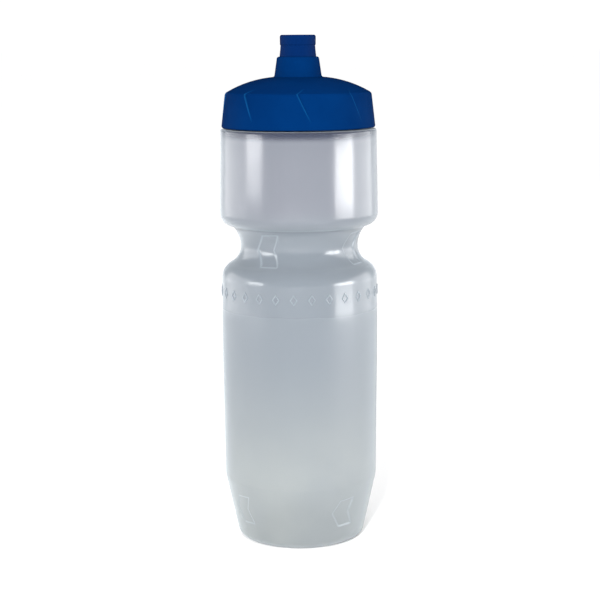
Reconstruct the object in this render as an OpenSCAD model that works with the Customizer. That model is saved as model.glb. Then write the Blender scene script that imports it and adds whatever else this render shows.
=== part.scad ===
// Squeeze bottle for a bicycle cage: blown body, screw cap with a push-pull nozzle.
// Millimetres, +Z up. The origin is the centre of the ring that the bottle stands on.

/* [Body] */
// Largest diameter of the upper drum
drum_d = 74; // [72:0.5:76]
// Diameter of the straight band that a cage grips
band_d = 73.1; // [72:0.1:73.5]
// Diameter where the foot cone meets the lower body
foot_top_d = 72; // [70:0.5:72.5]
// Diameter of the foot cone carried down to the floor
foot_d = 58.8; // [56:0.1:61]
// Height of the foot cone
foot_h = 30; // [28:1:34]
// Height where the straight band starts
band_z = 88; // [80:1:95]
// Height where the straight band ends, in a small step
band_top_z = 112; // [108:0.5:114]
// Smallest diameter of the waist
waist_d = 54.9; // [50:0.1:58]
// Height of the middle of the waist
waist_z = 139.5; // [136:0.5:143]
// Height of the shoulder under the cap
shoulder_z = 193.9; // [191:0.1:197]
// Thickness of the blown wall
wall = 1.2; // [1:0.1:1.6]
// Height of the push-up in the base
push_h = 12; // [8:1:14]

/* [Neck and thread] */
// Outer diameter of the plain neck
neck_d = 60.8; // [60:0.1:61.2]
// Thickness of the neck
neck_wall = 1.8; // [1.4:0.1:2]
// Height of the neck above the shoulder
neck_h = 13.5; // [13.2:0.1:13.8]
// Rise of the thread in one turn
thread_lead = 5; // [4.8:0.1:5.2]
// Turns of thread on the neck, and in the cap
thread_turns = 1.25; // [1:0.05:1.3]
// Height of a thread ridge above its wall
thread_h = 1.4; // [1:0.1:1.5]

/* [Cap] */
// Diameter of the cap at its lower rim
cap_d = 71.5; // [70:0.5:72]
// Height of the cap from its rim to the top of its dome
cap_h = 23.2; // [23:0.1:24]
// Diameter of the cap at its shoulder
cap_top_d = 67.8; // [67.4:0.1:68.4]
// Number of shingled panels round the cap
panels = 8; // [4:1:12]
// Depth of a panel at its crease
panel_depth = 0.9; // [0.4:0.1:1]

/* [Nozzle] */
// Outer diameter of the fixed collar at the dome
collar_d = 22; // [21:0.1:22.5]
// Outer diameter of the sliding nozzle
nozzle_d = 17; // [16.6:0.1:17.1]
// Diameter of the hole that one drinks through
mouth_d = 6; // [5.6:0.1:6.2]
// Running gap round the nozzle and round the plug
slide_gap = 0.05; // [0.03:0.01:0.08]

/* [Surface details] */
// Number of raised diamonds round the body
diamonds = 28; // [20:1:32]
// Height of the middle of the diamond ring
diamond_z = 118.8; // [117:0.1:120]
// Depth of the grip panels in the waist and the foot
grip_depth = 0.45; // [0.3:0.05:0.5]

/* [Hidden] */
$fn = 96;

body_colour = [0.80, 0.84, 0.88, 0.6];
cap_colour = [0.02, 0.16, 0.42];
nozzle_colour = [0.05, 0.14, 0.38];
seal_colour = [0.75, 0.76, 0.78];

// ---- body outline: radii of curvature and centres ----
drum_r = drum_d / 2;
band_r = band_d / 2;
upper_r = band_r - 0.1;               // foot of the hip, above the band's step
band_step_h = 0.3;
waist_r = waist_d / 2;
push_r = 22.5;                        // inner edge of the standing ring
push_ball_r = (push_r * push_r + push_h * push_h) / (2 * push_h);
foot_corner_r = 4.5;
foot_tilt = atan((foot_top_d - foot_d) / 2 / foot_h);
body_tilt = atan((band_d - foot_top_d) / 2 / (band_z - foot_h));
foot_corner_x = foot_d / 2 - foot_corner_r * (1 - sin(foot_tilt)) / cos(foot_tilt);
heel_r = 10;                          // blend between the foot cone and the body
hip_r = 8;                            // rounded top of the lower body
waist_low_r = 9;                      // hollow of the waist, lower half
waist_high_r = 14;                    // hollow of the waist, upper half
belly_r = 6;                          // rounded bottom of the upper drum
belly_z = waist_z + 15.7;
hip_reach = waist_r + waist_low_r - upper_r + hip_r;
hip_drop = sqrt(pow(hip_r + waist_low_r, 2) - pow(hip_reach, 2));
hip_z = waist_z - hip_drop;
hip_angle = atan2(hip_drop, hip_reach);
drum_top_r = drum_r - 0.7;
lip_round = 1;

neck_r = neck_d / 2;
neck_top = shoulder_z + neck_h;
neck_bore_r = neck_r - neck_wall;

// ---- cap ----
cap_gap = 0.7;                        // shadow gap between the shoulder and the cap
cap_z = shoulder_z + cap_gap;
dome_top = cap_z + cap_h;
corner_z = dome_top - 7.1;            // height of the cap's shoulder
cap_lean = atan((cap_d - cap_top_d) / 2 / (corner_z - cap_z));
dome_r = 51;                          // radius of the domed top, seen from the side
dome_x = 7.4;                         // where that radius is centred, off the axis
corner_r = 2;
cap_wall_r = 32.3;                    // inside of the skirt
ceiling_z = neck_top + 1.65;
gasket_t = 1.5;
gasket_r = 27.9;                      // inside of the ring gasket
crease_lean = 0.8;                    // degrees that a crease turns per millimetre down the skirt
crease_turn_back = 2.7;               // degrees per millimetre above the cap's shoulder
first_crease = -0.85;                 // azimuth of the crease nearest the front

// ---- nozzle and tower ----
nozzle_r = nozzle_d / 2;
mouth_r = mouth_d / 2;
collar_top = dome_top + 9.1;
collar_round = 1.1;                   // rounding of the collar's top, and of the hollow at its foot
collar_bore_r = nozzle_r + slide_gap;
well_z = dome_top - 0.5;              // floor of the well between the collar and the tower
tower_r = 5.3;
tower_bore_r = 4.1;
tower_top = dome_top + 12.4;
head_r = 5.95;                        // piston head on the tower, running in the nozzle
head_z = dome_top + 7.4;
core_bore_r = head_r + slide_gap;
core_neck_r = 6.9;
core_step = dome_top + 8.9;           // where the soft sleeve stands on the core
nozzle_top = dome_top + 19;
core_top = nozzle_top - 1.7;
plug_r = mouth_r - slide_gap;
plug_top = nozzle_top - 0.8;
spoke_z = tower_top - 1.8;
seal_z = tower_top - 2.1;             // middle of the sealing ring in its groove
seal_t = 1.06;

// ---- valve under the dome ----
valve_r = 9.1;
spigot_r = 10.6;
spigot_z = dome_top - 8.3;
valve_seat_z = dome_top - 4;
valve_t = 1.6;
retainer_t = 2.2;

// Points of an arc about [x, z], from angle a0 to a1
function arc(x, z, r, a0, a1, n = 8) =
    [for (i = [0:n]) let (a = a0 + (a1 - a0) * i / n) [x + r * cos(a), z + r * sin(a)]];

// Angle at one side of a triangle, from the lengths of its three sides
function corner_angle(near1, near2, far) =
    acos((near1 * near1 + near2 * near2 - far * far) / (2 * near1 * near2));

// Outline of the blown body from the axis up to the shoulder, moved inwards by t.
// Hollow curves grow with t and rounded ones shrink, so the wall is even.
function skin(t) =
    let (ring_r = sqrt(pow(push_ball_r + t, 2) - pow(push_ball_r - push_h + t, 2)),
         ring_a = atan2(push_ball_r - push_h + t, ring_r),
         heel_back = heel_r / cos((foot_tilt - body_tilt) / 2),
         heel_x = foot_top_d / 2 - heel_back * cos((foot_tilt + body_tilt) / 2),
         heel_z = foot_h + heel_back * sin((foot_tilt + body_tilt) / 2),
         hollow_x = waist_r + waist_high_r,
         belly_x = drum_r - belly_r,
         span = norm([hollow_x - belly_x, belly_z - waist_z]),
         line_a = atan2(belly_z - waist_z, belly_x - hollow_x),
         hollow_a = line_a + corner_angle(span, waist_high_r + t, belly_r - t),
         belly_a = line_a - 180 - corner_angle(span, belly_r - t, waist_high_r + t))
    concat(
        arc(0, push_h - push_ball_r, push_ball_r + t, 90, ring_a, 10),
        arc(foot_corner_x, foot_corner_r, foot_corner_r - t, -90, -foot_tilt, 8),
        arc(heel_x, heel_z, heel_r - t, -foot_tilt, -body_tilt, 4),
        [[band_r - t, band_z], [band_r - t, band_top_z], [upper_r + 0.06 - t, band_top_z + band_step_h]],
        arc(upper_r - hip_r, hip_z, hip_r - t, 0, hip_angle, 10),
        arc(waist_r + waist_low_r, waist_z, waist_low_r + t, 180 + hip_angle, 180, 10),
        arc(hollow_x, waist_z, waist_high_r + t, 180 - 4, hollow_a, 9),
        arc(belly_x, belly_z, belly_r - t, belly_a, 0, 10),
        arc(drum_top_r - lip_round, shoulder_z - lip_round, max(lip_round - t, 0.2), 0, 90, 4));

function reversed(list) = [for (i = [len(list) - 1:-1:0]) list[i]];

// Turns a shape built towards +X so that it faces azimuth a, which is 0 at the front
module facing(a) rotate([0, 0, a - 90]) children();

// One helical ridge: a trapezium swept along the helix, with its ends run out
module ridge(root_r, crest_r, z0, turns) {
    root_w = 2.2;
    crest_w = 1.1;
    per_turn = 40;
    steps = ceil(turns * per_turn);
    runout = 5;
    function crest(i) = let (k = min(1, i / runout, (steps - i) / runout))
        root_r + (crest_r - root_r) * (0.3 + 0.7 * k);
    function ring(i) = let (a = 360 * i / per_turn, z = z0 + thread_lead * i / per_turn)
        [for (p = [[root_r, -root_w], [crest(i), -crest_w], [crest(i), crest_w], [root_r, root_w]])
            [p[0] * cos(a), p[0] * sin(a), z + p[1] / 2]];
    points = [for (i = [0:steps]) each ring(i)];
    sides = [for (i = [0:steps - 1], j = [0:3]) let (k = (j + 1) % 4)
        each [[4 * i + j, 4 * i + 4 + j, 4 * i + k], [4 * i + k, 4 * i + 4 + j, 4 * i + 4 + k]]];
    ends = [[0, 1, 2], [0, 2, 3], [4 * steps, 4 * steps + 2, 4 * steps + 1],
            [4 * steps, 4 * steps + 3, 4 * steps + 2]];
    faces = concat(sides, ends);
    out = crest_r > root_r;
    polyhedron(points, out ? [for (f = faces) [f[0], f[2], f[1]]] : faces);
}

// One raised diamond outline, standing on the band
module diamond() {
    half_w = 1.8;
    half_h = 2.65;
    open = 0.62;                      // part of the size left open in the middle
    root = 0.5;                       // sunk into the wall
    proud = 0.4;
    corners = [[half_w, 0], [0, half_h], [-half_w, 0], [0, -half_h]];
    translate([upper_r - root, 0, diamond_z]) rotate([90, 0, 90])
        linear_extrude(root + proud) difference() {
            polygon(corners);
            polygon(corners * open);
        }
}

// Chevron outline: [azimuth, height] corners laid flat at radius r about azimuth mid
function laid(corners, r, mid) = [for (c = corners) [r * sin(c[0] - mid), c[1]]];

// Skin-deep layer between heights z0 and z1, inside an outline and outside the moved-in body
module grip(outline, z0, z1) {
    inner_r = waist_r - 5;
    outer_r = drum_r + 3;
    intersection() {
        rotate_extrude() difference() {
            translate([inner_r, z0]) square([outer_r - inner_r, z1 - z0]);
            polygon(concat([[0, 0]], [for (p = skin(grip_depth)) if (p[0] > push_r) p], [[0, shoulder_z]]));
        }
        rotate([90, 0, 90]) linear_extrude(outer_r + 4) polygon(outline);
    }
}

module bottle_body() {
    // corners as [azimuth, height], repeated every quarter turn
    waist_grip = [[54.8, 146.6], [71, 147], [64.5, 140.1], [71.5, 132.7], [54.8, 132.6], [46.8, 140.2]];
    foot_grip = [[32.5, 23.2], [45.2, 23.8], [41.2, 17.6], [46.3, 10.7], [33.4, 10.4], [26, 17.4]];
    waist_mid = 57;
    foot_mid = 36;
    lip = 0.4;                        // chamfer round the mouth of the neck
    root = 0.6;                       // chamfer at the foot of the neck
    color(body_colour) difference() {
        union() {
            rotate_extrude() polygon(concat(
                skin(0),
                [[neck_r + root, shoulder_z], [neck_r, shoulder_z + root], [neck_r, neck_top - lip],
                 [neck_r - lip, neck_top], [neck_bore_r + lip, neck_top], [neck_bore_r, neck_top - lip],
                 [neck_bore_r, shoulder_z + 0.8], [neck_bore_r + 1.2, shoulder_z - wall - 0.2]],
                reversed(skin(wall))));
            ridge(neck_r - 0.5, neck_r + thread_h, shoulder_z + 4.9, thread_turns);
            for (i = [0:diamonds - 1]) facing(-4.2 + i * 360 / diamonds) diamond();
        }
        for (i = [0:3]) {
            facing(waist_mid + 90 * i) grip(laid(waist_grip, waist_r + 1.15, waist_mid), 131, 149);
            facing(foot_mid + 90 * i) grip(laid(foot_grip, foot_top_d / 2 - 2.6, foot_mid), 9, 26);
        }
    }
}

// Outline of the cap's outside, from the foot of the collar over the dome and down to the rim
function cap_skin() =
    let (lean = [-sin(cap_lean), cos(cap_lean)],
         out = [cos(cap_lean), sin(cap_lean)],
         rim = [cap_d / 2, cap_z],
         from = rim - out * corner_r - [dome_x, dome_top - dome_r],
         b = from * lean,
         u = -b + sqrt(b * b - from * from + pow(dome_r - corner_r, 2)),
         c = rim - out * corner_r + lean * u,
         top_a = atan2(c[1] - dome_top + dome_r, c[0] - dome_x))
    concat(
        arc(dome_x, dome_top - dome_r, dome_r, 84.5, top_a, 12),
        arc(c[0], c[1], corner_r, top_a - 8, cap_lean, 6),
        [rim + lean * 0.8, rim - [0.8, 0]]);

// Region between one crease and the next: its walls lean with the creases
module panel_wedge() {
    reach = cap_d / 2 + 10;
    turn = 360 / panels - 2;
    function crease(z) = (z < corner_z ? crease_lean : crease_turn_back) * abs(z - corner_z);
    levels = [cap_z + 1, corner_z, corner_z + 5];
    points = [for (z = levels) each [
        [0, 0, z],
        [reach * cos(crease(z)), reach * sin(crease(z)), z],
        [reach * cos(crease(z) + turn), reach * sin(crease(z) + turn), z]]];
    sides = [for (i = [0, 3], j = [0:2]) let (k = (j + 1) % 3)
        each [[i + j, i + 3 + j, i + k], [i + k, i + 3 + j, i + 3 + k]]];
    polyhedron(points, concat([[0, 1, 2], [6, 8, 7]], sides));
}

// What is cut away for one panel: deepest at the top of its crease, fading right and down
module panel_cut() {
    fade = 360 / panels - 4;          // angle over which the recess runs out
    bevel_r = cap_top_d / 2 - 4.1;    // inner edge of the bevel on top of the panel
    difference() {
        panel_wedge();
        translate([-panel_depth, panel_depth / tan(fade), 0]) rotate_extrude() polygon([
            [0, cap_z], [cap_d / 2 + panel_depth, cap_z], [cap_top_d / 2 - 0.1, corner_z],
            [bevel_r, corner_z + 2.3], [bevel_r, dome_top + 2], [0, dome_top + 2]]);
    }
}

// Section of the cap, from the tower's bore out to the skirt and back under the dome
function cap_section() =
    let (groove_r = head_r - seal_t - 0.02, groove_h = seal_t / 2 + 0.07, under_z = dome_top - 2.4,
         valve_bore_r = valve_r + 0.05)
    concat(
        [[tower_bore_r, under_z], [tower_bore_r, tower_top - 0.4], [tower_bore_r + 0.4, tower_top],
         [head_r - 0.5, tower_top], [head_r, tower_top - 0.5], [head_r, seal_z + groove_h],
         [groove_r, seal_z + groove_h], [groove_r, seal_z - groove_h], [head_r, seal_z - groove_h],
         [head_r, head_z], [tower_r, head_z], [tower_r, well_z], [collar_bore_r, well_z],
         [collar_bore_r, collar_top]],
        arc(collar_bore_r + 0.15, collar_top - collar_round, collar_round, 90, 8.5, 6),
        arc(collar_d / 2 + 1, dome_top + 0.91, collar_round, 188.5, 262, 5),
        cap_skin(),
        [[cap_wall_r + 1.5, cap_z], [cap_wall_r, cap_z + 5], [cap_wall_r, ceiling_z],
         [27.4, ceiling_z], [27.4, dome_top - 7], [26, dome_top - 5.3], [18, dome_top - 3.1],
         [spigot_r, under_z], [spigot_r, spigot_z], [valve_r + 0.5, spigot_z],
         [valve_r - 0.15, spigot_z + 0.4], [valve_bore_r, spigot_z + 0.6],
         [valve_bore_r, valve_seat_z], [7.8, valve_seat_z], [7.8, under_z]]);

// Plug that closes the mouth, carried on three spokes in the tower
module plug() {
    rotate_extrude() polygon([[0, spoke_z], [2, spoke_z], [2, plug_top - 3.8], [plug_r, plug_top - 2.9],
                              [plug_r, plug_top - 0.5], [plug_r - 0.5, plug_top], [0, plug_top]]);
    for (i = [0:2]) rotate([0, 0, 90 + 120 * i])
        translate([1, -0.6, spoke_z + 0.1]) cube([tower_bore_r - 0.6, 1.2, tower_top - spoke_z - 0.8]);
}

module cap() {
    color(cap_colour) difference() {
        union() {
            rotate_extrude() polygon(cap_section());
            ridge(cap_wall_r + 0.6, neck_r + 0.5, shoulder_z + 2.7, thread_turns);
            plug();
        }
        for (i = [0:panels - 1]) facing(first_crease + 360 / panels * i) panel_cut();
    }
}

module cap_gasket() {
    color(seal_colour) rotate_extrude()
        translate([gasket_r, neck_top + 0.1]) square([cap_wall_r - 0.5 - gasket_r, gasket_t]);
}

// Hard slider: a piston tube in the collar, with a stop rib below the tower's head
module nozzle_core() {
    rib_r = tower_r + 0.15;
    bottom = well_z + 0.1;
    color(nozzle_colour) rotate_extrude() polygon([
        [rib_r, bottom], [nozzle_r - 0.3, bottom], [nozzle_r, bottom + 0.3], [nozzle_r, core_step],
        [core_neck_r, core_step], [core_neck_r, core_top], [mouth_r, core_top],
        [mouth_r, core_top - 1.8], [core_bore_r, core_top - 3.7], [core_bore_r, bottom + 1.3],
        [rib_r, bottom + 1.2]]);
}

// Soft sleeve that one bites: a waisted spout with a thick lip
module bite_sleeve() {
    lip_r = nozzle_r - 0.2;
    lip_z = nozzle_top - 4.4;
    color(nozzle_colour) rotate_extrude() polygon(concat(
        [[mouth_r, core_top], [core_neck_r, core_top], [core_neck_r, core_step],
         [nozzle_r, core_step], [nozzle_r, core_step + 0.4], [nozzle_r - 0.3, core_step + 2.7],
         [nozzle_r - 0.52, lip_z - 0.5], [lip_r - 0.15, lip_z - 0.1], [lip_r, lip_z + 0.2]],
        arc(lip_r - 0.85, nozzle_top - 0.8, 0.8, 0, 90, 6),
        arc(mouth_r + 0.5, nozzle_top - 0.5, 0.5, 90, 180, 4)));
}

module tower_seal() {
    color(seal_colour) translate([0, 0, seal_z])
        rotate_extrude() translate([head_r - seal_t / 2, 0]) circle(d = seal_t, $fn = 24);
}

// Silicone disc with a three-way slit, clamped by its rim
module slit_valve() {
    skin_t = 0.8;
    color(seal_colour) difference() {
        rotate_extrude() polygon([[0, valve_seat_z - 0.9], [3, valve_seat_z - 1.05], [6.4, valve_seat_z - 1.5],
            [6.8, valve_seat_z - valve_t], [valve_r, valve_seat_z - valve_t], [valve_r, valve_seat_z],
            [7.4, valve_seat_z], [6.4, valve_seat_z - 0.7], [3, valve_seat_z - 0.25],
            [0, valve_seat_z - 0.9 + skin_t]]);
        for (i = [0:2]) rotate([0, 0, 120 * i])
            translate([0, -0.08, valve_seat_z - 3]) cube([4.6, 0.16, 5]);
    }
}

module valve_retainer() {
    top = valve_seat_z - valve_t;
    color(nozzle_colour) rotate_extrude() polygon([
        [6.7, top], [valve_r, top], [valve_r, top - retainer_t + 0.4], [valve_r - 0.4, top - retainer_t],
        [7.4, top - retainer_t], [6.7, top - retainer_t + 0.9]]);
}

bottle_body();
cap();
cap_gasket();
nozzle_core();
bite_sleeve();
tower_seal();
slit_valve();
valve_retainer();
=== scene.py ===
"""Squeeze bottle for a bicycle cage: the visible pieces, their finishes, the floor, lights and camera.

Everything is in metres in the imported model's frame: +Z is up, the origin is the middle of the
standing ring, and the front faces -Y. An azimuth is 0 at the front and grows towards +X.
Sizes inside the classes are in millimetres and become metres as a mesh is made.
"""

import logging
from collections.abc import Callable
from dataclasses import dataclass, field
from enum import Enum
from math import acos, atan, atan2, ceil, cos, degrees, hypot, pi, radians, sin, sqrt, tan

import bpy
import numpy as np
from bpy.types import Material, NodeSocket, Object, World
from mathutils import Matrix, Vector

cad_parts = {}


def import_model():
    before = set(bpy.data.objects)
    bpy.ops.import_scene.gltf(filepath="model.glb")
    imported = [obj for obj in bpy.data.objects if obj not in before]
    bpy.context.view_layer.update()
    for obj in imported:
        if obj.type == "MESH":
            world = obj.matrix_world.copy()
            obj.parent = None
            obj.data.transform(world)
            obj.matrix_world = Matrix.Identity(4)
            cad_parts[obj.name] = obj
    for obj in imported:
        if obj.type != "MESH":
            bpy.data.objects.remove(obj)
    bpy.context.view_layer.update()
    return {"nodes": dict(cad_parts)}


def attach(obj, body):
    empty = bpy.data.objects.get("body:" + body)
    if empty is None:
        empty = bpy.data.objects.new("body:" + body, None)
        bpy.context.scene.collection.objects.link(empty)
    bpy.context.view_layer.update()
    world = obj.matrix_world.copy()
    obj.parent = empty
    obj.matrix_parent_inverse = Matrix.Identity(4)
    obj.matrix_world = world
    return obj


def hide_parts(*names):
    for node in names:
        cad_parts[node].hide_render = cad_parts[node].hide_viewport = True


LOG = logging.getLogger("bottle")
MM = 0.001
TAU = 2 * pi
Grid = np.ndarray


class Slot(Enum):
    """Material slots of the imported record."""

    BODY = "body_plastic"
    CAP = "cap_plastic"
    NOZZLE = "nozzle_plastic"
    RUBBER = "nozzle_rubber"
    SEAL = "seal_rubber"


class Body(Enum):
    """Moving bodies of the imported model."""

    BOTTLE = "bottle"
    SEAL_CARRIER = "seal_carrier"
    CAP = "cap"
    NOZZLE = "nozzle"


class Ends(Enum):
    """How the last ring of a grid meets the first, and what its ends do."""

    LOOP = "the last ring joins the first"
    POLES = "both ends shrink to a point on the axis"
    OPEN_CAPS = "both end rings are closed with one flat face"


# ---- outlines


def arc(x: float, z: float, r: float, a0: float, a1: float, n: int) -> Grid:
    """Points of an arc: the centre plus r times (cos a, sin a), with a from a0 to a1 degrees.

    Args:
        x: Distance of the centre from the axis.
        z: Height of the centre.
        r: Radius.
        a0: First angle.
        a1: Last angle.
        n: Number of steps.

    Returns:
        An (n + 1, 2) array of [radius, height].
    """
    a = np.radians(np.linspace(a0, a1, n + 1))
    return np.stack([x + r * np.cos(a), z + r * np.sin(a)], axis=1)


def rounded(corners: list[tuple[float, float, float]], steps: int = 4, closed: bool = True) -> Grid:
    """Outline with each corner replaced by an arc tangent to its two sides.

    The arc starts radius x tan(half the turn) before the corner, on a circle of that radius.

    Args:
        corners: (radius, height, rounding) of each corner.
        steps: Steps of each arc.
        closed: Whether the last corner joins the first.

    Returns:
        An (n, 2) array of points.
    """
    pts = np.array([c[:2] for c in corners], float)
    out = []
    for i, (p, (_, _, r)) in enumerate(zip(pts, corners)):
        before, after = pts[i - 1], pts[(i + 1) % len(pts)]
        if r <= 0 or (not closed and i in (0, len(pts) - 1)):
            out.append(p[None])
            continue
        u, v = before - p, after - p
        u, v = u / np.linalg.norm(u), v / np.linalg.norm(v)
        half = acos(float(np.clip(u @ v, -1, 1))) / 2
        mid = (u + v) / np.linalg.norm(u + v)
        centre = p + mid * r / sin(half)
        start, end = p + u * r / tan(half) - centre, p + v * r / tan(half) - centre
        turn = atan2(start[0] * end[1] - start[1] * end[0], start @ end)
        t = np.linspace(0, turn, steps + 1)[:, None]
        side = np.array([-start[1], start[0]])
        out.append(centre + start * np.cos(t) + side * np.sin(t))
    return np.concatenate(out)


def resampled(points: Grid, spacing: float) -> Grid:
    """The same polyline with extra points, so that no step is longer than spacing."""
    out = [points[:1]]
    for a, b in zip(points[:-1], points[1:]):
        n = max(1, ceil(float(np.linalg.norm(b - a)) / spacing))
        out.append(a + (b - a) * (np.arange(1, n + 1) / n)[:, None])
    return np.concatenate(out)


def distinct(points: Grid, nearest: float = 0.02) -> Grid:
    """The same polyline without points that lie within nearest of the one before them."""
    steps = np.linalg.norm(np.diff(points, axis=0), axis=1)
    return points[np.concatenate([[True], steps > nearest])]


def outward(profile: Grid, closed: bool) -> Grid:
    """Unit normals of an outline, the tangent turned a quarter to the right of its travel.

    An outline that climbs on the outside of a solid gets normals that point away from the axis.

    Args:
        profile: (n, 2) outline.
        closed: Whether the last point joins the first.

    Returns:
        An (n, 2) array of unit vectors.
    """
    if closed:
        tangent = np.roll(profile, -1, axis=0) - np.roll(profile, 1, axis=0)
    else:
        tangent = np.gradient(profile, axis=0)
    tangent /= np.maximum(np.linalg.norm(tangent, axis=1, keepdims=True), 1e-9)
    return np.stack([tangent[:, 1], -tangent[:, 0]], axis=1)


def smooth(edge0: float, edge1: float, x: Grid) -> Grid:
    """Smooth step: 0 below edge0, 1 above edge1, and 3t^2 - 2t^3 between them."""
    t = np.clip((x - edge0) / (edge1 - edge0), 0, 1)
    return t * t * (3 - 2 * t)


def inside_distance(u: Grid, v: Grid, corners: Grid) -> Grid:
    """Signed distance to a polygon, positive inside.

    The size is the least distance to a side; the sign comes from how often a ray towards +u
    crosses the sides.

    Args:
        u: First coordinate of every point.
        v: Second coordinate of every point.
        corners: (n, 2) corners of the polygon.

    Returns:
        An array of the points' shape.
    """
    best = np.full(u.shape, 1e9)
    odd = np.zeros(u.shape, bool)
    for a, b in zip(corners, np.roll(corners, -1, axis=0)):
        d = b - a
        t = np.clip(((u - a[0]) * d[0] + (v - a[1]) * d[1]) / (d @ d), 0, 1)
        best = np.minimum(best, np.hypot(u - a[0] - t * d[0], v - a[1] - t * d[1]))
        if a[1] != b[1]:
            spans = (a[1] > v) != (b[1] > v)
            odd ^= spans & (u < (b[0] - a[0]) * (v - a[1]) / (b[1] - a[1]) + a[0])
    return np.where(odd, best, -best)


# ---- meshes


def lathe(radius: Grid, height: Grid, azimuth: Grid) -> Grid:
    """Points (radius sin azimuth, -radius cos azimuth, height) of a grid of rings.

    Args:
        radius: (rings, columns) or (rings, 1) radii.
        height: Heights of the same shape.
        azimuth: Azimuths in radians, (columns,) or (rings, columns).

    Returns:
        A (rings, columns, 3) array in millimetres.
    """
    r, z, a = np.broadcast_arrays(radius, height, azimuth)
    return np.stack([r * np.sin(a), -r * np.cos(a), z], axis=-1)


def grid_faces(rings: int, columns: int, ends: Ends) -> list[list[int]]:
    """Faces between the rings of a grid whose columns wrap round.

    Ring i and column j share vertex i x columns + j. Each face joins two columns of two rings.
    With POLES a fan joins each end ring to a vertex of its own, numbered after the others.

    Args:
        rings: Number of rings.
        columns: Number of columns.
        ends: How the rings end.

    Returns:
        Vertex numbers of every face.
    """
    i = np.arange(rings if ends is Ends.LOOP else rings - 1)[:, None]
    j = np.arange(columns)[None]
    k, n = (j + 1) % columns, (i + 1) % rings
    quads = np.stack([i * columns + j, i * columns + k, n * columns + k, n * columns + j], axis=-1)
    faces = quads.reshape(-1, 4).tolist()
    if ends is Ends.OPEN_CAPS:
        last = (rings - 1) * columns
        faces.append(list(range(columns))[::-1])
        faces.append([last + c for c in range(columns)])
    if ends is Ends.POLES:
        low, high, last = rings * columns, rings * columns + 1, (rings - 1) * columns
        c, d = j[0], k[0]
        faces += np.stack([np.full(columns, low), d, c], axis=-1).tolist()
        faces += np.stack([np.full(columns, high), last + c, last + d], axis=-1).tolist()
    return faces


def linked(name: str, data: bpy.types.ID) -> Object:
    """Makes an object of a mesh, light or camera and adds it to the scene."""
    obj = bpy.data.objects.new(name, data)
    bpy.context.scene.collection.objects.link(obj)
    return obj


@dataclass
class Skin:
    """Collects grids of points and makes them one smooth-shaded mesh object.

    Attributes:
        name: Name of the piece.
        crisp: Angle in degrees above which an edge is drawn sharp.
        points: Points of each grid, in millimetres.
        faces: Vertex numbers of every face.
        tags: Values per point of each attribute, grid by grid.
    """

    name: str
    crisp: float = 40.0
    points: list[Grid] = field(default_factory=list)
    faces: list[list[int]] = field(default_factory=list)
    tags: dict[str, list[Grid]] = field(default_factory=dict)

    def add(self, grid: Grid, ends: Ends, poles: tuple[float, float] = (0, 0),
            **tags: Grid | float) -> None:
        """Adds a (rings, columns, 3) grid in millimetres.

        Args:
            grid: Points, ring by ring; faces point out when rings climb and the azimuth grows.
            ends: How the rings end.
            poles: Heights of the two points that close a POLES grid.
            tags: Values that broadcast to (rings, columns), kept as attributes of the mesh.
        """
        base = sum(len(p) for p in self.points)
        rings, columns = grid.shape[:2]
        flat = grid.reshape(-1, 3)
        if ends is Ends.POLES:
            flat = np.vstack([flat, [0, 0, poles[0]], [0, 0, poles[1]]])
        self.points.append(flat)
        self.faces += [[base + v for v in f] for f in grid_faces(rings, columns, ends)]
        for tag, values in tags.items():
            flat_values = np.broadcast_to(values, (rings, columns)).reshape(-1)
            extra = len(flat) - len(flat_values)
            self.tags.setdefault(tag, []).append(
                np.concatenate([flat_values, flat_values[[0, -1]][:extra]]))

    def make(self) -> Object:
        """Makes the object at the origin, in metres, and returns it."""
        mesh = bpy.data.meshes.new(self.name)
        mesh.from_pydata((np.concatenate(self.points) * MM).tolist(), [], self.faces)
        mesh.validate()
        for tag, values in self.tags.items():
            layer = mesh.attributes.new(tag, "FLOAT", "POINT")
            layer.data.foreach_set("value", np.concatenate(values).astype(np.float32))
        mesh.polygons.foreach_set("use_smooth", np.ones(len(mesh.polygons), bool))
        mesh.set_sharp_from_angle(angle=radians(self.crisp))
        mesh.update()
        return linked(self.name, mesh)


def turned(name: str, outline: Grid, columns: int = 128) -> Object:
    """A ring-shaped solid: a closed outline turned about the axis.

    Args:
        name: Name of the piece.
        outline: (n, 2) points that run up the outside and down the inside.
        columns: Steps of a full turn.

    Returns:
        The object.
    """
    skin = Skin(name)
    azimuth = np.arange(columns) * TAU / columns
    skin.add(lathe(outline[:, :1], outline[:, 1:], azimuth), Ends.LOOP)
    return skin.make()


def settle(obj: Object, body: Body, slot: Slot, material: Material,
           *stands_for: str) -> None:
    """Gives a piece its finish and its body, and hides the CAD nodes that it stands for."""
    obj.data.materials.append(material)
    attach(obj, body.value)
    if stands_for:
        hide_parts(*stands_for)
    LOG.info("%s: %d faces on %s", obj.name, len(obj.data.polygons), body.value)


# ---- shader maths


def math_node(operation: str, swapped: bool = False) -> Callable[["Value", object], "Value"]:
    """Makes the method of an operator, which adds a Math node on a value and what it meets."""
    def method(self: "Value", other: object) -> "Value":
        """The Math node's result."""
        pair = (other, self) if swapped else (self, other)
        return self.tree.node("ShaderNodeMath", {"operation": operation}, dict(enumerate(pair)))
    return method


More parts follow.
